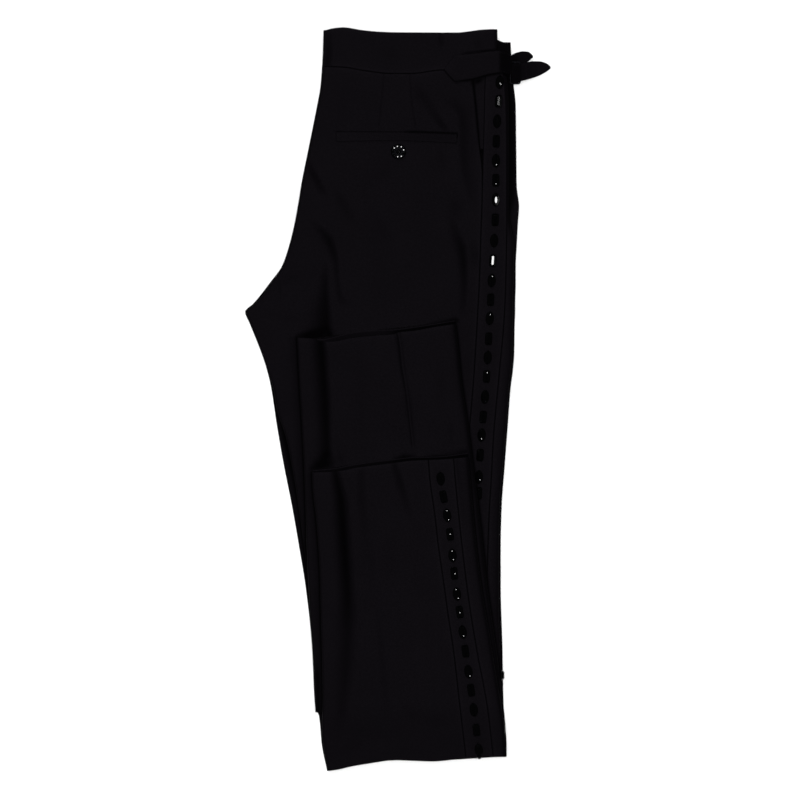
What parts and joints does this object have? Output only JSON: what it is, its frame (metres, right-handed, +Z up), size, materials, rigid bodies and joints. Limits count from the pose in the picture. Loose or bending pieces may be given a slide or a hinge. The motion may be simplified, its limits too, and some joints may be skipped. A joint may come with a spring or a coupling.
{
  "type": "folded straight-leg trousers",
  "caption": "Straight-leg evening trousers folded flat on their side, legs turned up, with jewelled side stripes, a welt back pocket and a buckled side tab.",
  "frame": {"origin": "on the surface the trousers lie on, under the middle of their outline", "axes": "+X towards the side seams with the stripes, +Y up the garment towards the waistband, +Z up from the surface"},
  "size_m": [0.3044, 0.7402, 0.018],
  "materials": {
    "crepe": "black wool crepe, matt, finely woven",
    "stripe": "black wool crepe band set with stones",
    "jewel": "faceted black glass stones, polished",
    "gunmetal": "dark plated metal, polished"
  },
  "bodies": {
    "root": {"hidden_layers": "crepe", "back_right": "crepe", "pocket_facing": "crepe", "side_stripe_right": "stripe", "front_right_edge": "crepe", "front_right_turnup": "crepe", "back_left_turnup": "crepe", "side_stripe_left": "stripe", "front_left_edge": "crepe", "waistband_right": "crepe", "waistband_left": "crepe", "side_tab": "crepe", "tab_strap_right": "crepe", "tab_strap_left": "crepe", "slide_buckle": "gunmetal", "pocket_welt": "crepe", "pocket_button": "jewel"}
  },
  "joints": []
}
